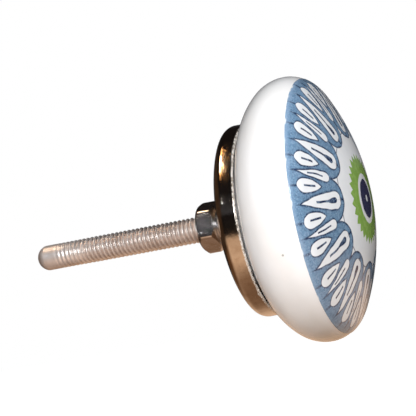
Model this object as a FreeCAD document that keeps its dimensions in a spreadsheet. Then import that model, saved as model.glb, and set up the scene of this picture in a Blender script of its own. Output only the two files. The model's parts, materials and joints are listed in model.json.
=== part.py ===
import FreeCAD, Part

# Cabinet knob: a glazed ceramic head with a printed dome, in a plated metal cap, on an M4 stud with two nuts.
# Lengths are in millimetres. The knob's axis is Y. The printed dome faces -Y, the stud points to +Y, Z is up.
# The origin is the centre of the mounting nut's outer face, where the free length of the stud starts.

import math
import os
import Sketcher
from FreeCAD import Rotation, Vector

doc = FreeCAD.newDocument("cabinet_knob")

# Driving dimensions
SIZES = [
    ("body_radius", 20.0, "ceramic head at its widest"),
    ("dome_height", 8.7, "widest plane to the top of the dome"),
    ("dome_edge_radius", 4.8, "tight arc where the dome meets the flank"),
    ("flank_width", 9.0, "widest radius to the foot's radius"),
    ("flank_height", 7.25, "rounded flank behind the widest plane"),
    ("flank_edge_radius", 5.6, "tight arc where the flank meets the dome"),
    ("foot_height", 3.05, "foot, from the cap's floor to the flank"),
    ("foot_round", 1.5, "rounded edge of the foot"),
    ("socket_radius", 5.0, "blind socket in the foot"),
    ("socket_floor", 1.2, "room past the stud's head in the socket"),
    ("cement_recess", 0.5, "anchoring compound stops this far below the foot"),
    ("cap_gap", 3.0, "foot to the inside of the cap's wall"),
    ("cap_wall", 0.6, "sheet thickness of the cap"),
    ("rim_gap", 0.17, "cap's rim to the head's flank"),
    ("cap_edge_width", 4.0, "rounded back edge, across"),
    ("cap_edge_depth", 2.1, "rounded back edge, along the axis"),
    ("cap_edge_radius", 1.4, "tight arc of that edge, at the wall"),
    ("cap_rim_round", 0.3, "rounded outer lip of the rim"),
    ("cap_hole_play", 0.2, "gap between the thread and the cap's hole"),
    ("thread_radius", 2.0, "M4 thread, major radius"),
    ("thread_pitch_radius", 1.7725, "M4 thread, pitch radius"),
    ("thread_play", 0.02, "gap between engaged threads"),
    ("free_length", 27.7, "mounting nut's face to the stud's tip"),
    ("tip_length", 1.9, "rounded tip of the stud"),
    ("tip_radius", 1.5, "tight arc of the tip, at the thread"),
    ("anchor_depth", 11.0, "cap's back face to the underside of the stud's head"),
    ("head_radius", 3.5, "stud's head"),
    ("head_height", 2.4, "stud's head"),
    ("head_round", 1.2, "rounded top edge of the stud's head"),
    ("nut_flats", 7.0, "M4 nut across flats"),
    ("nut_height", 3.15, "M4 nut"),
    ("nut_face_width", 1.0, "flat ring from a nut's countersink to its chamfer"),
    ("nut_chamfer_depth", 0.85, "chamfer at a nut's corners, along the axis"),
    ("nut_sink", 0.25, "countersink beyond the thread's major radius"),
    ("mounting_nut_turn", 38.0, "degrees about the axis"),
    ("cap_nut_turn", 44.0, "degrees about the axis"),
    ("print_thickness", 0.1, "printed colour on the glaze"),
    ("print_margin", 0.75, "head's widest radius to the print's outer edge"),
    ("print_rim", 0.8, "plain band at the print's outer edge"),
    ("print_line", 0.9, "printed line round a petal"),
    ("eye_dot_radius", 0.5, "bare dot in the eye"),
    ("eye_radius", 2.9, "dark eye at the centre"),
    ("eye_gap", 0.8, "bare ring round the eye"),
    ("ring_width", 3.1, "serrated ring, with its points"),
    ("tooth_count", 28, "points round the ring"),
    ("tooth_depth", 0.9, "depth of the serration"),
    ("tooth_tip", 0.16, "blunt end of a point"),
    ("field_width", 4.6, "ring's points to the cusps where petals meet"),
    ("petal_count", 12, "petals round the dome"),
    ("petal_depth", 1.8, "how far a petal's round end stands in from its cusps"),
    ("seed_angle", 6.54, "half width of a petal's long window, in degrees about the axis"),
    ("lancet_angle", 3.29, "half width of the window between petals, in degrees about the axis"),
    ("drop_angle", 3.6, "half width of a rim window, in degrees about the axis"),
    ("drop_turn", 8.3, "degrees from a petal's middle to its rim windows"),
    ("drop_start", 0.4, "share of the way from cusps to rim where a rim window starts"),
]

sheet = doc.addObject("Spreadsheet::Sheet", "Sizes")
for row, (alias, number, note) in enumerate(SIZES, start=1):
    sheet.set(f"A{row}", alias)
    sheet.set(f"B{row}", str(number))
    sheet.set(f"C{row}", note)
    sheet.setAlias(f"B{row}", alias)
doc.recompute()

# Planes along the axis and radii, worked out from the driving dimensions
CAP_BACK = "(-2 * Sizes.nut_height)"
CAP_FLOOR = f"({CAP_BACK} - Sizes.cap_wall)"
FLANK_START = f"({CAP_FLOOR} - Sizes.foot_height)"
WIDEST = f"({FLANK_START} - Sizes.flank_height)"
APEX = f"({WIDEST} - Sizes.dome_height)"
HEAD_BASE = f"({CAP_BACK} - Sizes.anchor_depth)"
HEAD_TOP = f"({HEAD_BASE} - Sizes.head_height)"
SOCKET_END = f"({HEAD_TOP} - Sizes.socket_floor)"
FOOT_RADIUS = "(Sizes.body_radius - Sizes.flank_width)"
CAP_INSIDE = f"({FOOT_RADIUS} + Sizes.cap_gap)"
CAP_RADIUS = f"({CAP_INSIDE} + Sizes.cap_wall)"

# The flank's flat arc touches its tight arc, and the cap's rim stands off the flat arc by the rim's gap
FLANK_REACH = "(Sizes.flank_width - Sizes.flank_edge_radius)"
FLANK_RADIUS = (
    f"(({FLANK_REACH} ^ 2 + Sizes.flank_height ^ 2 - Sizes.flank_edge_radius ^ 2)"
    " / (2 * (Sizes.flank_height - Sizes.flank_edge_radius)))"
)
CAP_RIM = f"({FLANK_START} - {FLANK_RADIUS} + sqrt({FLANK_RADIUS} ^ 2 - Sizes.cap_gap ^ 2) + Sizes.rim_gap)"

# The print is drawn outwards from its eye and inwards from its edge
RING_INSIDE = "(Sizes.eye_radius + Sizes.eye_gap)"
RING_RADIUS = f"({RING_INSIDE} + Sizes.ring_width)"
PETAL_CUSP = f"({RING_RADIUS} + Sizes.field_width)"
PRINT_RADIUS = "(Sizes.body_radius - Sizes.print_margin)"
HALF_PITCH = "(180 deg / Sizes.petal_count)"
HALF_TOOTH = "(180 deg / Sizes.tooth_count)"


# Helpers for sketches
def new_body(name):
    body = doc.addObject("PartDesign::Body", name)
    body.Label = name
    return body


def new_sketch(body, name, role, turn="0 deg"):
    """Sketch on one of the body's own origin planes, turned in that plane by an angle."""
    sketch = body.newObject("Sketcher::SketchObject", name)
    plane = next(f for f in body.Origin.OriginFeatures if f.Role == role)
    sketch.AttachmentSupport = [(plane, "")]
    sketch.MapMode = "FlatFace"
    sketch.AttachmentOffset.Rotation = Rotation(Vector(0, 0, 1), 0)
    sketch.setExpression(".AttachmentOffset.Rotation.Angle", turn)
    return sketch


def pin_point(sketch, geometry, position, label, point):
    """Fix a point of the sketch at two distances from its origin, each bound to an expression."""
    for kind, expression in zip(("DistanceX", "DistanceY"), point):
        number = float(sheet.evalExpression(expression))
        index = sketch.addConstraint(Sketcher.Constraint(kind, -1, 1, geometry, position, number))
        name = f"{label}_{kind[-1].lower()}"
        sketch.renameConstraint(index, name)
        sketch.setExpression(f"Constraints.{name}", expression)


def located(point):
    """Place that a pair of expressions gives for the present sizes."""
    return Vector(*[float(sheet.evalExpression(expression)) for expression in point], 0)


def add_arc(sketch, centre, first, last):
    """Minor arc about a centre. Gives its number and the positions of its first and last ends."""
    start, end = first - centre, last - centre
    left_turn = start.x * end.y - start.y * end.x > 0
    if not left_turn:
        start, end = end, start
    ring = Part.Circle(centre, Vector(0, 0, 1), start.Length)
    edge = sketch.addGeometry(Part.ArcOfCircle(ring, math.atan2(start.y, start.x), math.atan2(end.y, end.x)))
    return (edge, 1, 2) if left_turn else (edge, 2, 1)


def bind_radius(sketch, edge, label, radius):
    """Bind the radius of an arc or a circle to an expression."""
    number = float(sheet.evalExpression(radius))
    index = sketch.addConstraint(Sketcher.Constraint("Radius", edge, number))
    sketch.renameConstraint(index, label)
    sketch.setExpression(f"Constraints.{label}", radius)


def one_arc(sketch, label, first, last, radius, side):
    """Arc of a given radius that turns left or right from its first to its last point."""
    size = float(sheet.evalExpression(radius))
    chord = last - first
    rise = math.sqrt(size ** 2 - chord.Length ** 2 / 4)
    across = Vector(-chord.y, chord.x, 0).normalize() * (1 if side == "left" else -1)
    arc = add_arc(sketch, first + chord / 2 + across * rise, first, last)
    bind_radius(sketch, arc[0], label, radius)
    return [arc]


def two_arcs(sketch, label, first, corner, last, tight_radius, tight_end):
    """Two arcs, tangent to each other and to the lines from both ends to the corner.

    The tight arc lies at the end that is named, first or last. The other radius follows from it.
    """
    tight_at, flat_at = (first, last) if tight_end == "first" else (last, first)
    small = float(sheet.evalExpression(tight_radius))
    across, along = flat_at - corner, tight_at - corner
    reach, depth = across.Length, along.Length
    large = ((reach - small) ** 2 + depth ** 2 - small ** 2) / (2 * (depth - small))
    tight_centre = tight_at + across / reach * small
    flat_centre = flat_at + along / depth * large
    joint = flat_centre + (tight_centre - flat_centre).normalize() * large
    tight_arc = add_arc(sketch, tight_centre, *((tight_at, joint) if tight_end == "first" else (joint, tight_at)))
    flat_arc = add_arc(sketch, flat_centre, *((joint, flat_at) if tight_end == "first" else (flat_at, joint)))
    pair = [tight_arc, flat_arc] if tight_end == "first" else [flat_arc, tight_arc]
    outer_end = 1 if tight_end == "first" else 2
    level, upright = ("Horizontal", "Vertical") if abs(across.y) < abs(across.x) else ("Vertical", "Horizontal")
    sketch.addConstraint(
        [
            Sketcher.Constraint("Tangent", pair[0][0], pair[0][2], pair[1][0], pair[1][1]),
            Sketcher.Constraint(level, tight_arc[0], 3, tight_arc[0], tight_arc[outer_end]),
            Sketcher.Constraint(upright, flat_arc[0], 3, flat_arc[0], flat_arc[3 - outer_end]),
        ]
    )
    bind_radius(sketch, tight_arc[0], label, tight_radius)
    return pair


def outline(sketch, start, steps):
    """Closed outline from start through the steps, and straight back to start if they end elsewhere.

    Steps: ("line", point), ("left" or "right", point, radius of the arc that turns that way),
    ("corner", corner, point, tight radius, end that it lies at).
    """
    points = [start] + [step[2] if step[0] == "corner" else step[1] for step in steps]
    if points[-1] == start:
        points.pop()
    else:
        steps = steps + [("line", start)]
    pieces = []
    beginnings = []
    for index, step in enumerate(steps):
        first = located(points[index])
        last = located(points[(index + 1) % len(points)])
        beginnings.append(len(pieces))
        if step[0] == "line":
            pieces.append((sketch.addGeometry(Part.LineSegment(first, last)), 1, 2))
        elif step[0] == "corner":
            pieces += two_arcs(sketch, f"radius{index}", first, located(step[1]), last, *step[3:])
        else:
            pieces += one_arc(sketch, f"radius{index}", first, last, step[2], step[0])
    for index, beginning in enumerate(beginnings):
        edge, start_end, _ = pieces[beginning]
        before, _, last_end = pieces[beginning - 1]
        pin_point(sketch, edge, start_end, f"point{index}", points[index])
        sketch.addConstraint(Sketcher.Constraint("Coincident", before, last_end, edge, start_end))


def circle(sketch, label, radius):
    """Circle about the sketch's origin."""
    number = float(sheet.evalExpression(radius))
    edge = sketch.addGeometry(Part.Circle(Vector(0, 0, 0), Vector(0, 0, 1), number))
    sketch.addConstraint(Sketcher.Constraint("Coincident", edge, 3, -1, 1))
    bind_radius(sketch, edge, label, radius)


# Helpers for features
def turned(body, kind, name, start, steps):
    """Revolution or Groove about the knob's axis, from an outline of (radius, place along the axis)."""
    sketch = new_sketch(body, f"{name}_outline", "XY_Plane")
    outline(sketch, start, steps)
    feature = body.newObject(f"PartDesign::{kind}", name)
    feature.Profile = sketch
    feature.ReferenceAxis = (sketch, ["V_Axis"])
    feature.Angle = 360
    doc.recompute()
    return feature


def pocket_through(body, sketch, name):
    """Cut from the XZ plane towards -Y through everything."""
    pocket = body.newObject("PartDesign::Pocket", name)
    pocket.Profile = sketch
    pocket.Type = "ThroughAll"
    pocket.Reversed = True
    doc.recompute()
    return pocket


def round_the_axis(body, feature, name, count):
    """Repeat a feature evenly about the knob's axis."""
    pattern = body.newObject("PartDesign::PolarPattern", name)
    pattern.Originals = [feature]
    axis = next(f for f in body.Origin.OriginFeatures if f.Role == "Y_Axis")
    pattern.Axis = (axis, [""])
    pattern.Angle = 360
    pattern.setExpression("Occurrences", count)
    body.Tip = pattern
    doc.recompute()
    return pattern


# Ceramic head
def make_knob_body():
    """One turned and glazed piece: foot, rounded flank and shallow dome, with a blind socket for the stud."""
    body = new_body("knob_body")
    turned(
        body,
        "Revolution",
        "head",
        ("0", CAP_FLOOR),
        [
            ("line", ("0", APEX)),
            ("corner", ("Sizes.body_radius", APEX), ("Sizes.body_radius", WIDEST), "Sizes.dome_edge_radius", "last"),
            (
                "corner",
                ("Sizes.body_radius", FLANK_START),
                (FOOT_RADIUS, FLANK_START),
                "Sizes.flank_edge_radius",
                "first",
            ),
            ("line", (FOOT_RADIUS, f"{CAP_FLOOR} - Sizes.foot_round")),
            ("left", (f"{FOOT_RADIUS} - Sizes.foot_round", CAP_FLOOR), "Sizes.foot_round"),
        ],
    )
    turned(
        body,
        "Groove",
        "socket",
        ("0", CAP_FLOOR),
        [
            ("line", ("0", SOCKET_END)),
            ("line", ("Sizes.socket_radius", SOCKET_END)),
            ("line", ("Sizes.socket_radius", CAP_FLOOR)),
        ],
    )
    return body


# Anchoring compound
def make_anchor_cement():
    """Set compound that fills the socket round the stud's head and shank."""
    body = new_body("anchor_cement")
    mouth = f"{CAP_FLOOR} - Sizes.cement_recess"
    turned(
        body,
        "Revolution",
        "filling",
        ("0", HEAD_TOP),
        [
            ("line", ("0", SOCKET_END)),
            ("line", ("Sizes.socket_radius", SOCKET_END)),
            ("line", ("Sizes.socket_radius", mouth)),
            ("line", ("Sizes.thread_pitch_radius", mouth)),
            ("line", ("Sizes.thread_pitch_radius", HEAD_BASE)),
            ("line", ("Sizes.head_radius", HEAD_BASE)),
            ("line", ("Sizes.head_radius", f"{HEAD_TOP} + Sizes.head_round")),
            ("right", ("Sizes.head_radius - Sizes.head_round", HEAD_TOP), "Sizes.head_round"),
        ],
    )
    return body


# Stud
def make_threaded_stud():
    """Headed M4 stud. The free thread has its major radius, the engaged and buried length its pitch radius."""
    body = new_body("threaded_stud")
    tip = ("Sizes.thread_radius", "Sizes.free_length")
    turned(
        body,
        "Revolution",
        "stud",
        ("0", HEAD_TOP),
        [
            ("line", ("Sizes.head_radius - Sizes.head_round", HEAD_TOP)),
            ("left", ("Sizes.head_radius", f"{HEAD_TOP} + Sizes.head_round"), "Sizes.head_round"),
            ("line", ("Sizes.head_radius", HEAD_BASE)),
            ("line", ("Sizes.thread_pitch_radius", HEAD_BASE)),
            ("line", ("Sizes.thread_pitch_radius", "0")),
            ("line", ("Sizes.thread_radius", "0")),
            ("line", ("Sizes.thread_radius", "Sizes.free_length - Sizes.tip_length")),
            ("corner", tip, ("0", "Sizes.free_length"), "Sizes.tip_radius", "first"),
        ],
    )
    return body


# Cap
def make_base_cap():
    """Pressed cup of even sheet thickness: flat back with a centre hole, broad rounded edge, short wall."""
    body = new_body("base_cap")
    hole = "Sizes.thread_radius + Sizes.cap_hole_play"
    flat = f"{CAP_RADIUS} - Sizes.cap_edge_width"
    edge_end = f"{CAP_BACK} - Sizes.cap_edge_depth"
    lip = f"{CAP_RADIUS} - Sizes.cap_rim_round"
    turned(
        body,
        "Revolution",
        "cup",
        (hole, CAP_BACK),
        [
            ("line", (hole, CAP_FLOOR)),
            ("line", (flat, CAP_FLOOR)),
            ("corner", (CAP_INSIDE, CAP_FLOOR), (CAP_INSIDE, edge_end), "Sizes.cap_edge_radius - Sizes.cap_wall", "last"),
            ("line", (CAP_INSIDE, CAP_RIM)),
            ("line", (lip, CAP_RIM)),
            ("left", (CAP_RADIUS, f"{CAP_RIM} + Sizes.cap_rim_round"), "Sizes.cap_rim_round"),
            ("line", (CAP_RADIUS, edge_end)),
            ("corner", (CAP_RADIUS, CAP_BACK), (flat, CAP_BACK), "Sizes.cap_edge_radius", "first"),
        ],
    )
    return body


# Nuts
def make_nut(name, turn, place):
    """Hexagon nut with chamfered corners and a countersunk thread, its outer face at the given place on the axis."""
    body = new_body(name)
    corner = "(Sizes.nut_flats / sqrt(3))"
    hexagon = new_sketch(body, f"{name}_hexagon", "XZ_Plane")
    corners = [(f"{corner} * cos({60 * k} deg)", f"{corner} * sin({60 * k} deg)") for k in range(6)]
    outline(hexagon, corners[0], [("line", point) for point in corners[1:]])
    blank = body.newObject("PartDesign::Pad", f"{name}_blank")
    blank.Profile = hexagon
    blank.setExpression("Length", "Sizes.nut_height")
    doc.recompute()
    bore = "(Sizes.thread_pitch_radius + Sizes.thread_play)"
    mouth = "(Sizes.thread_radius + Sizes.nut_sink)"
    sink = f"({mouth} - {bore})"
    back = "(-Sizes.nut_height)"
    turned(
        body,
        "Groove",
        f"{name}_thread",
        ("0", "0"),
        [
            ("line", ("0", back)),
            ("line", (mouth, back)),
            ("line", (bore, f"{back} + {sink}")),
            ("line", (bore, f"-{sink}")),
            ("line", (mouth, "0")),
        ],
    )
    reach = f"({corner} + Sizes.nut_chamfer_depth)"
    face_radius = f"({mouth} + Sizes.nut_face_width)"
    slope = f"(Sizes.nut_chamfer_depth / ({corner} - {face_radius}))"
    for side, face, inward in (("outer", "0", "-"), ("inner", back, "+")):
        turned(
            body,
            "Groove",
            f"{name}_{side}_chamfer",
            (face_radius, face),
            [
                ("line", (reach, face)),
                ("line", (reach, f"{face} {inward} {slope} * ({reach} - {face_radius})")),
            ],
        )
    body.Placement.Rotation = Rotation(Vector(0, 1, 0), 0)
    body.setExpression(".Placement.Rotation.Angle", turn)
    body.setExpression(".Placement.Base.y", place)
    return body


# Printed colours
def make_print(name, outer, draw_inner):
    """Skin of printed colour that follows the dome, out to a radius and down to the inner edge that is drawn."""
    body = new_body(name)
    front = f"{APEX} - Sizes.print_thickness"
    wide = "(Sizes.body_radius + Sizes.print_thickness)"
    turned(
        body,
        "Revolution",
        f"{name}_skin",
        ("0", APEX),
        [
            ("line", ("0", front)),
            ("corner", (wide, front), (wide, WIDEST), "Sizes.dome_edge_radius + Sizes.print_thickness", "last"),
            ("line", ("Sizes.body_radius", WIDEST)),
            ("corner", ("Sizes.body_radius", APEX), ("0", APEX), "Sizes.dome_edge_radius", "first"),
        ],
    )
    trim = new_sketch(body, f"{name}_trim", "XZ_Plane")
    circle(trim, "beyond", "Sizes.body_radius + 1")
    circle(trim, "outer", outer)
    draw_inner(trim)
    body.Tip = pocket_through(body, trim, f"{name}_field")
    return body


def cut_windows(body, name, count, turn, start, steps):
    """Cut one outline through the print, turned from the +Z direction, and repeat it round the axis."""
    sketch = new_sketch(body, f"{name}_outline", "XZ_Plane", turn)
    outline(sketch, start, steps)
    round_the_axis(body, pocket_through(body, sketch, name), f"{name}s", count)


def drop_window(round_end, point, half_angle, side):
    """Start and steps of a drop: a half circle at its round end and two arcs that meet in a point.

    Its half width is the half circle's radius, seen under the half angle. The side is 1 for a point
    that lies outwards and -1 for one that lies inwards.
    """
    width = f"({round_end} * sin({half_angle} * 1 deg) / (1 - {side} * sin({half_angle} * 1 deg)))"
    belly = f"({round_end} + {side} * {width})"
    side_radius = f"({width} ^ 2 + ({point} - {belly}) ^ 2) / (2 * {width})"
    steps = [
        ("left", (f"{side} * {width}", belly), width),
        ("left", ("0", point), side_radius),
        ("left", (f"{-side} * {width}", belly), side_radius),
        ("left", ("0", round_end), width),
    ]
    return ("0", round_end), steps


def draw_scallops(sketch):
    """Round inner ends of the petals, one arc from cusp to cusp for each."""
    cusps = []
    for number in range(int(sheet.petal_count)):
        angle = f"({2 * number + 1} * {HALF_PITCH})"
        cusps.append((f"{PETAL_CUSP} * cos({angle})", f"{PETAL_CUSP} * sin({angle})"))
    half_chord = f"({PETAL_CUSP} * sin({HALF_PITCH}))"
    radius = f"({half_chord} ^ 2 + Sizes.petal_depth ^ 2) / (2 * Sizes.petal_depth)"
    outline(sketch, cusps[0], [("right", cusp, radius) for cusp in cusps[1:] + cusps[:1]])


def make_print_petals():
    """Ring of petals: scalloped inner edge, a long window in each petal, and windows at the rim and between."""
    body = make_print("print_petals", PRINT_RADIUS, draw_scallops)
    petal_end = f"({PETAL_CUSP} * cos({HALF_PITCH}) - Sizes.petal_depth)"
    rim = f"({PRINT_RADIUS} - Sizes.print_rim)"
    drop_point = f"({PETAL_CUSP} + Sizes.drop_start * ({rim} - {PETAL_CUSP}))"
    windows = [
        ("seed", "0 deg", (f"({petal_end} + Sizes.print_line)", rim, "Sizes.seed_angle", 1)),
        ("lancet", HALF_PITCH, (f"({PETAL_CUSP} + Sizes.print_line)", rim, "Sizes.lancet_angle", 1)),
        ("right_drop", "-Sizes.drop_turn * 1 deg", (rim, drop_point, "Sizes.drop_angle", -1)),
        ("left_drop", "Sizes.drop_turn * 1 deg", (rim, drop_point, "Sizes.drop_angle", -1)),
    ]
    for name, turn, shape in windows:
        cut_windows(body, name, "Sizes.petal_count", turn, *drop_window(*shape))
    return body


def make_print_ring():
    """Serrated ring between the petals and the eye."""
    body = make_print("print_ring", RING_RADIUS, lambda trim: circle(trim, "inner", RING_INSIDE))
    root = f"({RING_RADIUS} - Sizes.tooth_depth)"
    mouth = f"({RING_RADIUS} * tan({HALF_TOOTH}) - Sizes.tooth_tip / 2)"
    beyond = f"({RING_RADIUS} + Sizes.tooth_depth)"
    cut_windows(
        body,
        "tooth_gap",
        "Sizes.tooth_count",
        "0 deg",
        ("0", root),
        [
            ("line", (f"2 * {mouth}", beyond)),
            ("line", (f"-2 * {mouth}", beyond)),
        ],
    )
    return body


def make_print_eye():
    """Dark round eye with a bare dot at its centre."""
    return make_print("print_eye", "Sizes.eye_radius", lambda trim: circle(trim, "inner", "Sizes.eye_dot_radius"))


PARTS = [
    make_knob_body(),
    make_anchor_cement(),
    make_threaded_stud(),
    make_base_cap(),
    make_nut("cap_nut", "Sizes.cap_nut_turn", "-Sizes.nut_height"),
    make_nut("mounting_nut", "Sizes.mounting_nut_turn", "0"),
    make_print_petals(),
    make_print_ring(),
    make_print_eye(),
]
doc.recompute()

# Nothing is written unless every object and every shape is sound
for item in doc.Objects:
    if "Invalid" in item.State or "Error" in item.State:
        raise SystemExit(f"{item.Name} is in state {item.State}")
for part in PARTS:
    if part.Shape.isNull() or not part.Shape.isValid() or not part.Shape.Solids:
        raise SystemExit(f"{part.Label} has no sound solid")

os.makedirs("parts", exist_ok=True)
for part in PARTS:
    part.Shape.exportStep(f"parts/{part.Label}.step")
    box = part.Shape.BoundBox
    print(
        f"{part.Label}: {len(part.Shape.Solids)} solid, volume {part.Shape.Volume:.2f} mm3,",
        f"X {box.XMin:.2f} to {box.XMax:.2f}, Y {box.YMin:.2f} to {box.YMax:.2f}, Z {box.ZMin:.2f} to {box.ZMax:.2f}",
    )
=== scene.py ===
"""Cabinet knob: a glazed head with a printed dome, in a plated cap, on a threaded stud with two nuts."""

import json
import math

import bmesh
import bpy
import numpy as np
from mathutils import Matrix, Vector

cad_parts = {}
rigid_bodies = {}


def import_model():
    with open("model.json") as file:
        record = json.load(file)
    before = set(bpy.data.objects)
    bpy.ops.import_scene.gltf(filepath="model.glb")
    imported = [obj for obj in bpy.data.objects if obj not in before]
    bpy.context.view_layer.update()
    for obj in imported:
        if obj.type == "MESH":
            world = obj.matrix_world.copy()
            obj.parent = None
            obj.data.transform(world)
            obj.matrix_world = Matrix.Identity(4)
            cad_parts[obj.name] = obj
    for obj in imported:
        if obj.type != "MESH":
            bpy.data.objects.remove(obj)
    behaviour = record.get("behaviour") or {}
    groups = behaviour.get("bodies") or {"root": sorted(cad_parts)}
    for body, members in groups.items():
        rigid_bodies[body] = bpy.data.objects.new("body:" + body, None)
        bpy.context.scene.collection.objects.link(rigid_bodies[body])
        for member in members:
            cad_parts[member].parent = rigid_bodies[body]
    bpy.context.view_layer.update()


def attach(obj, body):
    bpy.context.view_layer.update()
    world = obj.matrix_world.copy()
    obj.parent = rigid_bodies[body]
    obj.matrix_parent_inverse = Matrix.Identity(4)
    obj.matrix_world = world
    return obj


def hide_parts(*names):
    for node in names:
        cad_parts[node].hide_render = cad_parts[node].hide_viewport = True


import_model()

MM = 0.001

# Sizes in millimetres, as in the construction. The axis is Y, the dome faces -Y and the stud points to +Y.
NUT_HEIGHT = 3.15
NUT_FLATS = 7.0
NUT_FACE_RADIUS = 3.25
NUT_CHAMFER_DEPTH = 0.85
NUT_SINK_RADIUS = 2.25
NUT_BORE_RADIUS = 1.86
NUT_CORNER_POWER = 30
NUT_CHAMFER_CURVE = 1.25
MOUNTING_NUT_TURN = 38.0
CAP_NUT_TURN = 44.0
BODY_RADIUS = 20.0
FOOT_RADIUS = 11.0
FOOT_HEIGHT = 3.05
FOOT_ROUND = 1.5
FLANK_HEIGHT = 7.25
FLANK_EDGE_RADIUS = 5.6
DOME_HEIGHT = 8.7
DOME_EDGE_RADIUS = 4.8
SOCKET_RADIUS = 5.0
SOCKET_FLOOR = 1.2
CAP_GAP = 3.0
CAP_WALL = 0.6
CAP_EDGE_WIDTH = 4.0
CAP_EDGE_DEPTH = 2.1
CAP_EDGE_RADIUS = 1.4
CAP_LIP = 0.28
CAP_HOLE_RADIUS = 2.2
CAP_DROP = 0.18
# Pale band at the cap's rim, a painted reflection of the white glaze: its width and its fade.
RIM_SHEEN_WIDTH = 0.24
RIM_SHEEN_FADE = 0.12
RIM_GAP = 0.17
THREAD_RADIUS = 2.0
THREAD_ROOT = 1.6
THREAD_PITCH = 0.7
FREE_LENGTH = 27.7
TIP_LENGTH = 1.9
TIP_RADIUS = 1.5
ANCHOR_DEPTH = 11.0
STUD_HEAD_RADIUS = 3.5
STUD_HEAD_HEIGHT = 2.4
PRINT_RADIUS = 19.25
PRINT_PROUD = 0.04
PRINT_SUNK = 0.05

# Places along the axis that follow from them
CAP_BACK = -2 * NUT_HEIGHT
CAP_FLOOR = CAP_BACK - CAP_WALL
FLANK_START = CAP_FLOOR - FOOT_HEIGHT
WIDEST = FLANK_START - FLANK_HEIGHT
STUD_HEAD = CAP_BACK - ANCHOR_DEPTH
CAP_INSIDE = FOOT_RADIUS + CAP_GAP
CAP_RADIUS = CAP_INSIDE + CAP_WALL
FLANK_REACH = BODY_RADIUS - FOOT_RADIUS - FLANK_EDGE_RADIUS
FLANK_DROP = FLANK_HEIGHT - FLANK_EDGE_RADIUS
FLANK_RADIUS = (FLANK_REACH ** 2 + FLANK_HEIGHT ** 2 - FLANK_EDGE_RADIUS ** 2) / (2 * FLANK_DROP)
CAP_RIM = FLANK_START - FLANK_RADIUS + math.sqrt(FLANK_RADIUS ** 2 - CAP_GAP ** 2) + RIM_GAP


# Profiles
def line(first, last, count):
    """Points from first to last, evenly spaced."""
    share = np.linspace(0, 1, count)[:, None]
    return np.array(first) * (1 - share) + np.array(last) * share


def rounded_corner(first, corner, last, tight, tight_end, count):
    """Two arcs that touch the lines from both ends to the corner and each other.

    The tight arc has its centre one radius in from its end. The other radius makes the two arcs touch:
    (reach - tight)^2 + depth^2 - tight^2, over twice (depth - tight).
    """
    first, corner, last = np.array(first, float), np.array(corner, float), np.array(last, float)
    tight_at, flat_at = (first, last) if tight_end == "first" else (last, first)
    across, along = flat_at - corner, tight_at - corner
    reach, depth = np.linalg.norm(across), np.linalg.norm(along)
    flat = ((reach - tight) ** 2 + depth ** 2 - tight ** 2) / (2 * (depth - tight))
    tight_centre = tight_at + across / reach * tight
    flat_centre = flat_at + along / depth * flat
    towards = tight_centre - flat_centre
    towards = towards / np.linalg.norm(towards)

    def sweep(centre, radius, start, end, number):
        """Directions blended from start to end and scaled to the radius."""
        angle = math.acos(np.clip(start @ end, -1, 1))
        share = np.linspace(0, 1, number)[:, None]
        blend = np.sin((1 - share) * angle) * start + np.sin(share * angle) * end
        return centre + radius * blend / math.sin(angle)

    tight_part = sweep(tight_centre, tight, -across / reach, towards, count // 2)
    flat_part = sweep(flat_centre, flat, towards, -along / depth, count - count // 2)
    whole = np.vstack([tight_part, flat_part[1:]])
    return whole if tight_end == "first" else whole[::-1]


def joined(*parts):
    """Profile parts one after another, without the points that they share."""
    rows = [parts[0]]
    for part in parts[1:]:
        rows.append(part[1:] if np.allclose(part[0], rows[-1][-1]) else part)
    return np.vstack(rows)


# Meshes
def finish_mesh(name, points, sharp_angle):
    """Mesh from a grid of points, rows by columns, whose columns close on themselves."""
    rows, columns, _ = points.shape
    here = np.arange(rows * columns).reshape(rows, columns)
    beside = np.roll(here, -1, axis=1)
    quads = np.stack([here[:-1], beside[:-1], beside[1:], here[1:]], axis=-1).reshape(-1, 4)
    mesh = bpy.data.meshes.new(name)
    mesh.from_pydata((points.reshape(-1, 3) * MM).tolist(), [], quads.tolist())
    piece = bpy.data.objects.new(name, mesh)
    bpy.context.collection.objects.link(piece)
    work = bmesh.new()
    work.from_mesh(mesh)
    bmesh.ops.remove_doubles(work, verts=work.verts, dist=1e-8)
    bmesh.ops.recalc_face_normals(work, faces=work.faces)
    work.to_mesh(mesh)
    work.free()
    mesh.shade_smooth()
    mesh.set_sharp_from_angle(angle=math.radians(sharp_angle))
    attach(piece, "root")
    return piece


def turned(name, profile, columns, sharp_angle=35, wobble=None):
    """Profile of (radius, place along the axis) carried round the axis.

    Each point lies at radius * sin(angle), place, radius * cos(angle). A wobble adds to radius and place.
    """
    angle = np.linspace(0, 2 * math.pi, columns, endpoint=False)[None, :]
    radius = profile[:, :1] + 0 * angle
    place = profile[:, 1:] + 0 * angle
    if wobble:
        extra_radius, extra_place = wobble(radius, place, angle)
        radius = radius + extra_radius
        place = place + extra_place
    points = np.stack([radius * np.sin(angle), place, radius * np.cos(angle)], axis=-1)
    return finish_mesh(name, points, sharp_angle)


def ripple(angle, waves):
    """Sum of sines round the axis, each given as (count, height, phase)."""
    return sum(height * np.sin(count * angle + phase) for count, height, phase in waves)


def dome_profile(grow, count):
    """Dome from its top to the widest plane, grown outwards by a distance."""
    top = WIDEST - DOME_HEIGHT - grow
    edge = BODY_RADIUS + grow
    return rounded_corner((0, top), (edge, top), (edge, WIDEST), DOME_EDGE_RADIUS + grow, "last", count)


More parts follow.
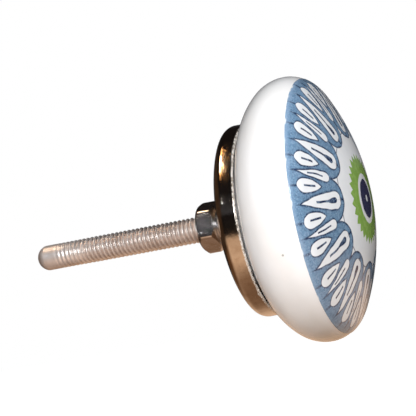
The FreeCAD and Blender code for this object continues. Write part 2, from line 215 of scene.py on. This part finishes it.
def make_head():
    """Ceramic head: dome, rounded flank and foot, with the socket that holds the stud."""
    widest = (BODY_RADIUS, WIDEST)
    flank_corner = (BODY_RADIUS, FLANK_START)
    flank_end = (FOOT_RADIUS, FLANK_START)
    socket_end = STUD_HEAD - STUD_HEAD_HEIGHT - SOCKET_FLOOR
    profile = joined(
        dome_profile(0, 70),
        rounded_corner(widest, flank_corner, flank_end, FLANK_EDGE_RADIUS, "first", 60),
        line(flank_end, (FOOT_RADIUS, CAP_FLOOR - FOOT_ROUND), 4),
        rounded_foot(),
        line((FOOT_RADIUS - FOOT_ROUND, CAP_FLOOR), (SOCKET_RADIUS, CAP_FLOOR), 6),
        line((SOCKET_RADIUS, CAP_FLOOR), (SOCKET_RADIUS, socket_end), 8),
        line((SOCKET_RADIUS, socket_end), (0, socket_end), 6),
    )

    def hand_turned(radius, place, angle):
        """The glaze is a few hundredths of a millimetre uneven, and nothing moves near the axis."""
        swell = ripple(angle, [(2, 0.03, 0.4), (3, 0.02, 1.9), (7, 0.006, 0.8)])
        inset, share, still_to, full_from = 0.03, 0.6, 14.0, 18.0
        outside = np.clip((radius - still_to) / (full_from - still_to), 0, 1)
        return -inset * outside + swell * outside * share, 0 * radius

    return turned("ceramic_head", profile, 240, 35, hand_turned)


def rounded_foot():
    """Quarter circle at the edge of the foot."""
    turn = np.linspace(0, math.pi / 2, 8)[:, None]
    centre = np.array([[FOOT_RADIUS - FOOT_ROUND, CAP_FLOOR - FOOT_ROUND]])
    return centre + FOOT_ROUND * np.hstack([np.cos(turn), np.sin(turn)])


def make_dome_print():
    """Printed disc: a skin that lies on the dome out to the print's edge, closed under the glaze."""
    front = dome_profile(PRINT_PROUD, 150)
    back = dome_profile(-PRINT_SUNK, 150)
    front = front[front[:, 0] <= PRINT_RADIUS]
    back = back[back[:, 0] <= PRINT_RADIUS]
    return turned("dome_print", joined(front, back[::-1]), 240, 50)


def make_cap():
    """Pressed cup with a rolled back edge. Its wall and rim are slightly out of true."""
    flat = CAP_RADIUS - CAP_EDGE_WIDTH
    edge_end = CAP_BACK - CAP_EDGE_DEPTH
    outer_end, inner_end = (CAP_RADIUS, edge_end), (CAP_INSIDE, edge_end)
    inner_radius = CAP_EDGE_RADIUS - CAP_WALL
    turn = np.linspace(0, math.pi, 11)[:, None]
    lip_centre = np.array([[CAP_RADIUS - CAP_LIP, CAP_RIM + CAP_LIP]])
    lip_arc = lip_centre + CAP_LIP * np.hstack([np.cos(turn), -np.sin(turn)])
    profile = joined(
        line((CAP_HOLE_RADIUS, CAP_FLOOR), (CAP_HOLE_RADIUS, CAP_BACK), 3),
        line((CAP_HOLE_RADIUS, CAP_BACK), (flat, CAP_BACK), 12),
        rounded_corner((flat, CAP_BACK), (CAP_RADIUS, CAP_BACK), outer_end, CAP_EDGE_RADIUS, "last", 36),
        line((CAP_RADIUS, edge_end), (CAP_RADIUS, CAP_RIM + CAP_LIP), 8),
        lip_arc,
        line((CAP_INSIDE, CAP_RIM + CAP_LIP), (CAP_INSIDE, edge_end), 6),
        rounded_corner(inner_end, (CAP_INSIDE, CAP_FLOOR), (flat, CAP_FLOOR), inner_radius, "first", 20),
        line((flat, CAP_FLOOR), (CAP_HOLE_RADIUS, CAP_FLOOR), 8),
    )

    def pressed(radius, place, angle):
        """The wall bulges near the back and draws in at the rim, and waves more towards the rim."""
        bulge, draw_in, start = 0.02, 0.09, CAP_BACK - 1.0
        towards_rim = np.clip((start - place) / (start - CAP_RIM), 0, 1)
        outside = radius > flat
        waves = ripple(angle, [(5, 0.022, 0.3), (11, 0.015, 1.4), (23, 0.012, 2.6), (41, 0.008, 0.9)])
        swell = ripple(angle, [(2, 0.03, 1.0), (3, 0.02, 0.2)])
        barrel = bulge - draw_in * towards_rim ** 2
        return (swell * towards_rim + barrel) * outside, np.abs(waves) * towards_rim * outside

    cap = turned("plated_cap", profile, 288, 35, pressed)
    cap.data.transform(Matrix.Translation((0, 0, -CAP_DROP * MM)))
    return cap


def make_nut(name, outer_face, turn):
    """Hexagon nut, its rows running from the bore over face, chamfer and flats and back into the bore.

    The flats' distance from the axis is the p-norm of six planes, which rounds the corners. The chamfer goes
    down in proportion to how far it lies outside the round face.
    """
    columns = 216
    angle = np.linspace(0, 2 * math.pi, columns, endpoint=False)
    planes = math.radians(turn) + np.arange(6) * math.pi / 3
    closeness = np.clip(np.cos(angle[:, None] - planes[None, :]), 0, None) / (NUT_FLATS / 2)
    hexagon = 1 / (closeness ** NUT_CORNER_POWER).sum(axis=1) ** (1 / NUT_CORNER_POWER)
    corner = NUT_FLATS / math.sqrt(3)
    back = -NUT_HEIGHT
    bore = NUT_BORE_RADIUS
    sink = NUT_SINK_RADIUS - bore

    def depth(radius):
        """Depth of the chamfer at a distance from the axis, slightly rounded where it starts."""
        share = np.clip((radius - NUT_FACE_RADIUS) / (corner - NUT_FACE_RADIUS), 0, None)
        return NUT_CHAMFER_DEPTH * share ** NUT_CHAMFER_CURVE

    rows = [(0 * angle + bore, 0 * angle + back / 2), (0 * angle + bore, 0 * angle - sink)]
    rows.append((0 * angle + NUT_SINK_RADIUS, 0 * angle))
    for share in (0.25, 0.5, 0.75, 1.0):
        rows.append((NUT_SINK_RADIUS + (NUT_FACE_RADIUS - NUT_SINK_RADIUS) * share + 0 * angle, 0 * angle))
    slope = [(NUT_FACE_RADIUS + (hexagon - NUT_FACE_RADIUS) * share) for share in np.linspace(0.12, 1, 9)]
    rows += [(radius, -depth(radius)) for radius in slope]
    upper, lower = -depth(hexagon), back + depth(hexagon)
    rows += [(hexagon, upper + (lower - upper) * share) for share in np.linspace(0.03, 0.97, 8)]
    rows += [(radius, back + depth(radius)) for radius in slope[::-1]]
    rows.append((0 * angle + NUT_FACE_RADIUS, 0 * angle + back))
    rows.append((0 * angle + NUT_SINK_RADIUS, 0 * angle + back))
    rows.append((0 * angle + bore, 0 * angle + back + sink))
    rows.append(rows[0])
    radius = np.array([row[0] for row in rows])
    place = np.array([row[1] for row in rows]) + outer_face
    points = np.stack([radius * np.sin(angle), place, radius * np.cos(angle)], axis=-1)
    return finish_mesh(name, points, 32)


def make_stud():
    """Threaded stud: the radius at a place is the thread's, cut off by the tip's outline.

    The thread's phase is place / pitch - angle / turn, which is a right-hand thread. Its height over the root
    rises from a rounded root to a narrow flat crest, and the thread runs out towards the tip. The shank that
    is buried in the head is plain.
    """
    columns = 72
    steps = 11
    angle = np.linspace(0, 2 * math.pi, columns, endpoint=False)[None, :]
    start = CAP_BACK - 2.0
    end = FREE_LENGTH - TIP_LENGTH
    run_out_end, run_out, worn_depth = 1.3, 7.0, 0.05
    head_end = STUD_HEAD - STUD_HEAD_HEIGHT
    shank = joined(
        line((0, head_end), (STUD_HEAD_RADIUS - 1.2, head_end), 3),
        line((STUD_HEAD_RADIUS - 1.2, head_end), (STUD_HEAD_RADIUS, head_end + 1.2), 3),
        line((STUD_HEAD_RADIUS, head_end + 1.2), (STUD_HEAD_RADIUS, STUD_HEAD), 3),
        line((STUD_HEAD_RADIUS, STUD_HEAD), (THREAD_ROOT, STUD_HEAD), 3),
        line((THREAD_ROOT, STUD_HEAD), (THREAD_ROOT, start), 4),
    )
    count = int((end - start) / THREAD_PITCH * steps)
    free = line((THREAD_RADIUS + 1, start + 0.02), (THREAD_RADIUS + 1, end), count)
    tip = rounded_corner(
        (THREAD_RADIUS, end), (THREAD_RADIUS, FREE_LENGTH), (0, FREE_LENGTH), TIP_RADIUS, "first", 22
    )
    profile = np.vstack([shank, free, tip[1:]])
    limit, place = profile[:, :1] + 0 * angle, profile[:, 1:] + 0 * angle
    phase = place / THREAD_PITCH - angle / (2 * math.pi)
    across = np.abs(2 * (phase - np.floor(phase)) - 1)
    rise = np.clip((across - 0.10) / 0.74, 0, 1)
    rise = 0.35 * rise + 0.65 * rise * rise * (3 - 2 * rise)
    wear = 0.985 + 0.015 * np.sin(place * 1.7 + 3 * angle) * np.sin(place * 0.61 - angle)
    full = np.clip((end - run_out_end - place) / run_out, 0, 1)
    crest = THREAD_RADIUS - worn_depth * (1 - full)
    thread = crest - (crest - THREAD_ROOT) * (1 - rise * wear) * full
    radius = np.where(place < start + 0.01, limit, np.minimum(thread, limit))
    points = np.stack([radius * np.sin(angle), place, radius * np.cos(angle)], axis=-1)
    return finish_mesh("m4_stud", points, 60)


# Shader maths
class Value:
    """A socket that can be used in sums."""

    def __init__(self, shade, socket):
        self.shade = shade
        self.socket = socket

    def math(self, operation, *others):
        return self.shade.node("ShaderNodeMath", {"operation": operation}, dict(enumerate((self, *others))))

    def __add__(self, other):
        return self.math("ADD", other)

    __radd__ = __add__

    def __mul__(self, other):
        return self.math("MULTIPLY", other)

    __rmul__ = __mul__

    def __sub__(self, other):
        return self.math("SUBTRACT", other)

    def __rsub__(self, other):
        return self * -1 + other

    def __truediv__(self, other):
        return self.math("DIVIDE", other)

    def __pow__(self, other):
        return self.math("POWER", other)

    def __abs__(self):
        return self.math("ABSOLUTE")

    def root(self):
        return self.math("MAXIMUM", 0).math("SQRT")

    def least(self, other):
        return self.math("MINIMUM", other)

    def most(self, other):
        return self.math("MAXIMUM", other)

    def step(self, low, high):
        """0 below low, 1 above high and a smooth rise between."""
        settings = {"interpolation_type": "SMOOTHSTEP"}
        return self.shade.node("ShaderNodeMapRange", settings, {0: self, 1: low, 2: high, 3: 0.0, 4: 1.0})


class Shade:
    """The nodes of one material, or of the world."""

    def __init__(self, name, world=None):
        self.material = world or bpy.data.materials.new(name)
        self.material.use_nodes = True
        self.tree = self.material.node_tree
        self.surface = self.tree.nodes["Background" if world else "Principled BSDF"]

    def node(self, kind, settings=None, sockets=None, out=0):
        """Node of a kind with its settings, then the values or links of its sockets. Gives one output."""
        made = self.tree.nodes.new(kind)
        for key, setting in (settings or {}).items():
            setattr(made, key, setting)
        for key, value in (sockets or {}).items():
            self.feed(made.inputs[key], value)
        return Value(self, made.outputs[out])

    def feed(self, socket, value):
        if isinstance(value, Value):
            self.tree.links.new(value.socket, socket)
        else:
            socket.default_value = value

    def set(self, **values):
        """Values or links for the surface's own sockets, with underscores for spaces."""
        for key, value in values.items():
            self.feed(self.surface.inputs[key.replace("_", " ")], value)

    def mix(self, share, first, second):
        """Colour between first and second."""
        return self.node("ShaderNodeMix", {"data_type": "RGBA"}, {0: share, 6: first, 7: second}, 2)

    def place(self):
        """Position on the object in millimetres, and its X, Y and Z."""
        own = self.node("ShaderNodeTexCoord", out=3)
        scaled = self.node("ShaderNodeVectorMath", {"operation": "SCALE"}, {0: own, "Scale": 1 / MM})
        return scaled, [self.node("ShaderNodeSeparateXYZ", sockets={0: scaled}, out=k) for k in range(3)]

    def noise(self, where, scale, detail=2.0, roughness=0.5):
        """Noise from 0 to 1 with a number of waves in a millimetre."""
        sockets = {"Vector": where, "Scale": scale, "Detail": detail, "Roughness": roughness}
        return self.node("ShaderNodeTexNoise", None, sockets)

    def bump(self, height, distance, strength=1.0):
        """Normal from a height, in millimetres over the given distance."""
        sockets = {"Height": height, "Distance": distance * MM, "Strength": strength}
        return self.node("ShaderNodeBump", None, sockets)


def colour(red, green, blue):
    """Colour from the 0 to 255 values that it shows on a screen."""
    values = [value / 255 for value in (red, green, blue)]
    return tuple(v / 12.92 if v <= 0.04045 else ((v + 0.055) / 1.055) ** 2.4 for v in values) + (1.0,)


# Colours
GLAZE_WHITE = colour(241, 241, 242)
GLAZE_SHADE = colour(236, 235, 234)
GLAZE_SPECK = colour(150, 146, 140)
FIELD = colour(222, 228, 234)
BLUE = colour(105, 138, 168)
BLUE_DARK = colour(38, 52, 82)
BLUE_PALE = colour(146, 172, 200)
GREEN = colour(128, 168, 80)
GREEN_PALE = colour(156, 188, 108)
EYE = colour(48, 50, 80)
EYE_PALE = colour(78, 84, 118)
NICKEL = colour(214, 204, 190)
NICKEL_DULL = colour(180, 162, 140)
# Pale rim band of the cap: a painted reflection of the white glaze in the lip.
RIM_SHEEN_PAINT = colour(236, 232, 228)
NUT_PLATE = colour(210, 208, 208)
STEEL = colour(240, 232, 228)
STEEL_DULL = colour(214, 202, 194)
# Brown for painted shade in the thread's roots.
ROOT_SHADE_BROWN = colour(140, 106, 82)
CEMENT = colour(190, 186, 176)
CEMENT_DARK = colour(160, 154, 144)


# Finishes
def glaze_finish():
    """Thick white glaze: faint clouds of warmer white, rare specks and a slow unevenness."""
    shade = Shade("white_glaze")
    where, _ = shade.place()
    clouds = shade.noise(where, 0.12, 3.0).step(0.35, 0.7)
    cells = {"Vector": where, "Scale": 0.16, "Randomness": 1.0}
    specks = shade.node("ShaderNodeTexVoronoi", {"feature": "F1"}, cells)
    speck = 1 - specks.step(0.018, 0.034)
    base = shade.mix(clouds, GLAZE_WHITE, GLAZE_SHADE)
    shade.set(Base_Color=shade.mix(speck * 0.8, base, GLAZE_SPECK))
    shade.set(Roughness=shade.noise(where, 0.6) * 0.06 + 0.10)
    shade.set(Normal=shade.bump(shade.noise(where, 0.22, 2.0), 0.10, 0.6))
    shade.surface.inputs["Coat Roughness"].default_value = 0.05
    shade.surface.inputs["Coat Weight"].default_value = 0.35
    return shade.material


def drop(across, along, round_end, point, half_angle, side=1):
    """How far inside a drop a point lies, in millimetres across it.

    The drop's half width is that of a circle at its round end, seen from the axis under the half angle, and
    of a long arc from there to its point. The side is 1 for a point that lies outwards and -1 for inwards.
    """
    sine = math.sin(math.radians(half_angle))
    width = round_end * sine / (1 - side * sine)
    belly = round_end + side * width
    arc = (width ** 2 + (point - belly) ** 2) / (2 * width)
    from_belly = (along - belly) * side
    below = (from_belly.least(0) ** 2 * -1 + width ** 2).root()
    above = (from_belly.most(0) ** 2 * -1 + arc ** 2).root() - arc + width
    return below.least(above) - abs(across)


def stroke(across, along, half_width, start, end):
    """How far inside a straight stroke a point lies."""
    return (abs(across) * -1 + half_width).least(along * -1 + end).least(along - start)


# Sizes of the print
PETALS = 12
EYE_DOT_RADIUS = 0.5
EYE_RADIUS = 2.9
RING_INNER_RADIUS = 3.7
RING_RADIUS = 6.8
TEETH = 28
TOOTH_DEPTH = 0.9
PETAL_CUSP = 11.4
PETAL_DEPTH = 1.8
PRINT_RIM = 0.8
PRINT_LINE = 0.9
SEED_ANGLE = 6.54
LANCET_ANGLE = 3.29
DROP_ANGLE = 3.6
DROP_TURN = 8.3
DROP_START = 0.4
LINE_RADIUS = 10.2
LINE_HALF_WIDTH = 0.09
HAND_SHIFT = 0.35
WINDOW_INSET = 0.07
EDGE = 0.05

# Straight strokes in the windows: half width, start, end. Bud: its round end, its point and its half angle.
VEIN = (0.17, 11.3, 15.6)
GAP_VEIN = (0.12, 13.6, 16.6)
LEAF_VEIN = (0.15, 15.4, 17.4)
BUD = (11.1, 13.6, 2.1)


def print_finish():
    """Print under the glaze, from angle and radius: petals with windows, a serrated ring and an eye."""
    shade = Shade("printed_dome")
    where, (x, _, z) = shade.place()
    shift = shade.noise(where, 0.55, 1.0) - 0.5
    elsewhere = shade.node("ShaderNodeVectorMath", {"operation": "ADD"}, {0: where, 1: (31, 7, 13)})
    other_shift = shade.noise(elsewhere, 0.5, 1.0) - 0.5
    x = x + shift * HAND_SHIFT
    z = z + other_shift * HAND_SHIFT
    radius = (x * x + z * z).root()
    angle = x.math("ARCTAN2", z)

    def sector(count, turn):
        """Angle from the nearest of so many evenly spaced directions, the first turned by so many radians."""
        pitch = 2 * math.pi / count
        return (angle - turn).math("WRAP", pitch / 2, -pitch / 2)

    def local(bearing):
        """Distance across and along a direction."""
        return radius * bearing.math("SINE"), radius * bearing.math("COSINE")

    on_petal = sector(PETALS, 0)
    on_gap = sector(PETALS, math.pi / PETALS)
    across, along = local(on_petal)
    gap_across, gap_along = local(on_gap)
    half_chord = PETAL_CUSP * math.sin(math.pi / PETALS)
    chord_at = PETAL_CUSP * math.cos(math.pi / PETALS)
    round_radius = (half_chord ** 2 + PETAL_DEPTH ** 2) / (2 * PETAL_DEPTH)
    round_centre = chord_at - PETAL_DEPTH + round_radius
    from_centre = (across * across + (along - round_centre) ** 2).root()
    inside_round = (from_centre * -1 + round_radius).most(along - round_centre)
    body = inside_round.least(radius * -1 + PRINT_RADIUS)

    rim = PRINT_RADIUS - PRINT_RIM
    petal_end = chord_at - PETAL_DEPTH
    seed = drop(across, along, petal_end + PRINT_LINE, rim, SEED_ANGLE)
    lancet = drop(gap_across, gap_along, PETAL_CUSP + PRINT_LINE, rim, LANCET_ANGLE)
    beside, beside_along = local(abs(on_petal) - math.radians(DROP_TURN))
    small = drop(beside, beside_along, rim, PETAL_CUSP + DROP_START * (rim - PETAL_CUSP), DROP_ANGLE, -1)
    windows = seed.most(lancet).most(small) - WINDOW_INSET

    strokes = stroke(across, along, *VEIN).most(drop(across, along, *BUD))
    strokes = strokes.most(stroke(gap_across, gap_along, *GAP_VEIN))
    strokes = strokes.most(stroke(beside, beside_along, *LEAF_VEIN))
    blue = body.least(windows * -1).most(strokes.least(windows))

    contour = inside_round.least(windows * -1).step(0.10, 0.40)
    grain = shade.noise(where, 3.6, 3.0, 0.8)
    mottle = shade.noise(where, 1.3, 2.0)
    wear = shade.noise(where, 4.6, 1.0).step(0.56, 0.70)
    ink = shade.mix(contour, BLUE_DARK, BLUE)
    ink = shade.mix(mottle.step(0.45, 0.75) * 0.45, ink, BLUE_PALE)
    ink = shade.mix(wear * 0.5, ink, BLUE_PALE)
    ink = shade.mix(grain.step(0.35, 0.55) * -0.4 + 0.4, ink, BLUE_DARK)
    ink = shade.mix(radius.step(PRINT_RADIUS - 0.45, PRINT_RADIUS) * 0.5, ink, BLUE_PALE)

    tooth_pitch = 2 * math.pi / TEETH
    tooth_share = abs(sector(TEETH, 0)) / (tooth_pitch / 2)
    ring_edge = tooth_share * TOOTH_DEPTH + (RING_RADIUS - TOOTH_DEPTH)
    ring = (ring_edge - radius).least(radius - RING_INNER_RADIUS)
    eye = (radius * -1 + EYE_RADIUS).least(radius - EYE_DOT_RADIUS)

    look = shade.mix(mottle * 0.5, FIELD, GLAZE_WHITE)
    thin_line = abs(radius - LINE_RADIUS) * -1 + LINE_HALF_WIDTH
    look = shade.mix(thin_line.step(-EDGE, EDGE) * 0.8, look, BLUE_DARK)
    look = shade.mix(blue.step(-EDGE, EDGE), look, ink)
    green = shade.mix(mottle.step(0.4, 0.7) * 0.6 + wear * 0.3, GREEN, GREEN_PALE)
    look = shade.mix(ring.step(-EDGE, EDGE), look, green)
    dark = shade.mix(grain.step(0.45, 0.75) * 0.5, EYE, EYE_PALE)
    look = shade.mix(eye.step(-EDGE, EDGE), look, dark)
    shade.set(Base_Color=look)
    shade.set(Roughness=shade.noise(where, 0.6) * 0.06 + 0.12)
    shade.set(Normal=shade.bump(shade.noise(where, 0.22, 2.0), 0.10, 0.6))
    shade.surface.inputs["Coat Roughness"].default_value = 0.05
    shade.surface.inputs["Coat Weight"].default_value = 0.4
    return shade.material


def metal_finish(name, bright, dull, roughness, ripples, root_shade=0.0, sheen_edge=None, metallic=1.0):
    """Thin plating over pressed or cut metal: patches of duller plate, hairline scratches and slow ripples.

    The thread's root is darkened brown as painted shade. A sheen edge is a place along the axis: from there
    to the cap's rim the plate is painted pale, a painted reflection of the white glaze in the lip, and is
    rougher and less like a mirror, more in some spots than in others.
    """
    shade = Shade(name)
    where, (x, y, z) = shade.place()
    stretched = shade.node("ShaderNodeVectorMath", {"operation": "MULTIPLY"}, {0: where, 1: (1, 9, 1)})
    hairlines = shade.noise(stretched, 1.6, 4.0, 0.7)
    patches = shade.noise(where, 0.5, 3.0).step(0.4, 0.7)
    look = shade.mix(patches * 0.6, bright, dull)
    # Painted shade: the thread's roots are darkened towards brown, patchy along them.
    if root_shade:
        from_axis = (x * x + z * z).root()
        low = 1 - from_axis.step(THREAD_ROOT + 0.04, THREAD_RADIUS - 0.12)
        look = shade.mix(low * (shade.noise(where, 0.9, 3.0) * 0.9 + 0.1) * root_shade, look, ROOT_SHADE_BROWN)
    rough = patches * 0.06 + hairlines * 0.05 + roughness
    # Painted reflection: a pale, patchy band at the cap's rim stands in for the white glaze seen in the lip;
    # it is also rougher and less metallic.
    if sheen_edge is not None:
        rim_sheen = 1 - y.step(sheen_edge - RIM_SHEEN_FADE, sheen_edge + RIM_SHEEN_FADE)
        rim_sheen = rim_sheen * (shade.noise(where, 2.2, 2.0).step(0.38, 0.58) * 0.75 + 0.25)
        look = shade.mix(rim_sheen * 0.8, look, RIM_SHEEN_PAINT)
        rough = rough + rim_sheen * shade.noise(where, 2.2, 2.0) * 0.5
        shade.set(Metallic=1 - rim_sheen * 0.75)
    else:
        shade.surface.inputs["Metallic"].default_value = metallic
    shade.set(Base_Color=look, Roughness=rough)
    height = shade.noise(where, 0.8, 2.0) * ripples + hairlines * 0.12
    shade.set(Normal=shade.bump(height, 0.05, 0.5))
    return shade.material


def cement_finish():
    """Grey set compound with sand in it."""
    shade = Shade("anchor_compound")
    where, _ = shade.place()
    sand = shade.noise(where, 4.0, 4.0, 0.7)
    shade.set(Base_Color=shade.mix(sand.step(0.35, 0.65), CEMENT_DARK, CEMENT), Roughness=sand * 0.2 + 0.7)
    shade.set(Normal=shade.bump(sand, 0.1, 0.8))
    return shade.material


# The pieces
def dress(piece, material, slot, *nodes):
    """Give a piece its finish and let it stand for its nodes. The slot is not used."""
    piece.data.materials.append(material)
    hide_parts(*nodes)


# The cap's pale rim band is a painted reflection.
nickel = metal_finish("nickel_plate", NICKEL, NICKEL_DULL, 0.05, 1.0, sheen_edge=CAP_RIM + RIM_SHEEN_WIDTH)
nut_plate = metal_finish("nut_plate", NUT_PLATE, NICKEL_DULL, 0.17, 0.8)
dress(make_head(), glaze_finish(), "glazed_white", "knob_body")
dress(make_dome_print(), print_finish(), "print_blue", "print_petals", "print_ring", "print_eye")
dress(make_cap(), nickel, "plated_cap", "base_cap")
dress(make_nut("inner_nut", -NUT_HEIGHT, CAP_NUT_TURN), nut_plate, "plated_nuts", "cap_nut")
dress(make_nut("outer_nut", 0.0, MOUNTING_NUT_TURN), nut_plate, "plated_nuts", "mounting_nut")
# The thread's roots get painted shade.
thread_metal = metal_finish("thread_steel", STEEL, STEEL_DULL, 0.33, 0.6, 0.7, metallic=0.74)
dress(make_stud(), thread_metal, "plated_stud", "threaded_stud")
for compound in [o for o in bpy.data.objects if o.name.startswith("anchor_cement")]:
    compound.data.materials.clear()
    compound.data.materials.append(cement_finish())


# Studio
def stage_mesh(name, points, faces):
    """Stage object from points in metres."""
    mesh = bpy.data.meshes.new(name)
    mesh.from_pydata([tuple(point) for point in points], [], faces)
    made = bpy.data.objects.new(name, mesh)
    bpy.context.collection.objects.link(made)
    return made


def card(name, centre, width, height, normal):
    """Flat card of a width and height in metres, facing a direction."""
    corners = np.array([(-1, -1, 0), (1, -1, 0), (1, 1, 0), (-1, 1, 0)]) * (width / 2, height / 2, 0)
    turn = Vector(normal).to_track_quat("Z", "Y").to_matrix()
    points = [turn @ Vector(corner) + Vector(centre) for corner in corners]
    return stage_mesh(name, points, [(0, 1, 2, 3)])


def bowl(name, radius, low, high):
    """Band of a sphere between two elevations in degrees, with its centre at the knob."""
    rows, columns = 13, 48
    rise = np.radians(np.linspace(low, high, rows))[:, None]
    turn = np.linspace(0, 2 * math.pi, columns, endpoint=False)[None, :]
    points = radius * np.stack(
        [np.cos(rise) * np.cos(turn), np.cos(rise) * np.sin(turn), np.sin(rise) + 0 * turn], axis=-1
    )
    here = np.arange(rows * columns).reshape(rows, columns)
    beside = np.roll(here, -1, axis=1)
    quads = np.stack([here[:-1], here[1:], beside[1:], beside[:-1]], axis=-1).reshape(-1, 4)
    return stage_mesh(name, points.reshape(-1, 3), quads.tolist())


def path_share(shade):
    """1 for rays from the camera, in reflections and through glass, 0 for the rest."""
    path = shade.node("ShaderNodeLightPath").socket.node.outputs
    straight = Value(shade, path["Is Camera Ray"])
    return straight.most(Value(shade, path["Is Glossy Ray"])).most(Value(shade, path["Is Transmission Ray"]))


def floor_finish():
    """Pale floor: white to the camera and in reflections, with the shadow and a warm bounce."""
    shade = Shade("studio_floor")
    seen = path_share(shade)
    shade.set(Base_Color=shade.mix(seen, FLOOR_BOUNCE, (0.8, 0.8, 0.8, 1.0)), Roughness=0.9)
    glow = (FLOOR_GLOW, FLOOR_GLOW, FLOOR_GLOW, 1.0)
    shade.set(Emission_Color=shade.mix(seen, (0.0, 0.0, 0.0, 1.0), glow), Emission_Strength=1.0)
    shade.surface.inputs["Specular IOR Level"].default_value = 0.0
    return shade.material


def card_finish(name, low_tint, high_tint, low, high, behind_tint, behind_low, behind_high):
    """Card that shows a blend between two heights in metres, and turns to a third tint behind the knob."""
    shade = Shade(name)
    own = shade.node("ShaderNodeTexCoord", out=3)
    behind = shade.node("ShaderNodeSeparateXYZ", sockets={0: own}, out=1)
    height = shade.node("ShaderNodeSeparateXYZ", sockets={0: own}, out=2)
    tint = shade.mix(height.step(low, high), low_tint, high_tint)
    tint = shade.mix(behind.step(behind_low, behind_high), tint, behind_tint)
    clouds = shade.noise(own, 24.0, 2.0) * 0.7 + 0.65
    glow = shade.node("ShaderNodeVectorMath", {"operation": "SCALE"}, {0: tint, "Scale": clouds})
    shade.set(Base_Color=(0.0, 0.0, 0.0, 1.0), Emission_Strength=1.0, Emission_Color=glow)
    shade.surface.inputs["Specular IOR Level"].default_value = 0.0
    return shade.material


def reflected_only(made):
    """Card that only reflections see."""
    made.visible_camera = False
    made.visible_diffuse = False
    made.visible_shadow = False
    made.visible_transmission = False


FLOOR_BOUNCE = (0.31, 0.19, 0.10, 1.0)
FLOOR_GLOW = 0.92
AMBIENT = 0.12
DARK = (0.010, 0.008, 0.008, 1.0)
DUSK = (0.060, 0.061, 0.070, 1.0)
TAN = (0.74, 0.49, 0.33, 1.0)
TAN_LOW = (0.24, 0.13, 0.075, 1.0)
BROWN = (0.15, 0.07, 0.032, 1.0)
UMBER = (0.060, 0.034, 0.020, 1.0)

floor = card("floor", (0, 0, -0.11), 8.0, 8.0, (0, 0, 1))
floor.data.materials.append(floor_finish())
upper = bowl("dark_ceiling", 2.6, -2, 88)
upper.data.materials.append(card_finish("dark_cloth", DUSK, DARK, 0.2, 1.5, UMBER, 1.3, 2.3))
reflected_only(upper)
lower = bowl("tan_table", 0.1, -88, -20)
lower.data.materials.append(card_finish("tan_board", TAN_LOW, TAN, -0.100, -0.062, BROWN, 0.035, 0.08))
reflected_only(lower)
edge_band = bowl("dark_band", 0.1, -20, 9)
edge_band.data.materials.append(card_finish("dark_edge", TAN, DARK, -0.0342, -0.017, UMBER, 0.05, 0.09))
reflected_only(edge_band)

world = bpy.data.worlds.new("white_studio")
bpy.context.scene.world = world
sky = Shade("sky", world)
sky.set(Color=(1.0, 1.0, 1.0, 1.0), Strength=path_share(sky) * (1 - AMBIENT) + AMBIENT)


def lamp(name, place, aim, size, power, tint, hidden_from=None, upwards=(0, 0, 1)):
    """Oval soft light in metres and watts, its height along the upward direction.

    It may be hidden from glossy rays, and then only lights, or from diffuse rays, and then is only reflected.
    """
    data = bpy.data.lights.new(name, "AREA")
    data.shape = "ELLIPSE"
    data.size, data.size_y = size
    data.energy = power
    data.color = tint
    made = bpy.data.objects.new(name, data)
    bpy.context.collection.objects.link(made)
    away = (Vector(place) - Vector(aim)).normalized()
    side = Vector(upwards).cross(away).normalized()
    turn = Matrix((side, away.cross(side), away)).transposed().to_4x4()
    made.matrix_world = Matrix.Translation(place) @ turn
    made.visible_glossy = hidden_from != "glossy"
    made.visible_diffuse = hidden_from != "diffuse"


middle = (0, WIDEST * MM, 0)
back = (0, CAP_BACK * MM, 0)
strip = (0.97, 0, 0.22)
lamp("key", (-1.54, -0.45, 0.36), middle, (0.45, 0.45), 16.2, (0.97, 0.985, 1.0))
lamp("flank", (-1.49, 0.42, 0.36), middle, (0.6, 0.6), 17.5, (0.96, 0.98, 1.0), "glossy")
lamp("front", (-0.45, -1.60, 0.75), middle, (0.8, 0.8), 20.5, (0.985, 0.99, 1.0), "glossy")
lamp("overhead_glow", (-0.32, 0.475, 1.40), back, (0.20, 1.15), 2.4, (1.0, 0.48, 0.16), "diffuse", strip)
lamp("overhead_core", (-0.32, 0.465, 1.38), back, (0.12, 0.72), 2.6, (1.0, 0.93, 0.78), "diffuse", strip)
lamp("spark", (-1.38, 0.48, 0.65), middle, (0.03, 0.03), 0.20, (0.95, 0.97, 1.0), "diffuse")


# Camera, fitted to the outlines in the photograph
FOCAL_PIXELS = 1600.0
IMAGE_SIDE = 416
FRONT_TILT = math.radians(18.39)
AXIS_RISE = math.radians(10.90)
CAP_IN_VIEW = Vector((5.06, -2.07, -241.94)) * MM


def make_camera():
    """Camera whose view holds the cap's back at its place, with the dome turned to the right and nearer."""
    flat = math.cos(FRONT_TILT)
    front = Vector((flat * math.cos(AXIS_RISE), flat * math.sin(AXIS_RISE), math.sin(FRONT_TILT)))
    along = -front
    side = Vector((front.z, 0, -front.x)).normalized()
    up = side.cross(along)
    into_view = Matrix((side, along, up)).transposed()
    move = CAP_IN_VIEW - into_view @ Vector((0, CAP_BACK * MM, 0))
    data = bpy.data.cameras.new("camera")
    data.sensor_width = 36.0
    data.lens = FOCAL_PIXELS / IMAGE_SIDE * data.sensor_width
    data.clip_start = 0.01
    data.clip_end = 20.0
    made = bpy.data.objects.new("camera", data)
    bpy.context.collection.objects.link(made)
    made.matrix_world = (Matrix.Translation(move) @ into_view.to_4x4()).inverted()
    return made


bpy.context.scene.camera = make_camera()
bpy.context.scene.view_settings.view_transform = "Standard"
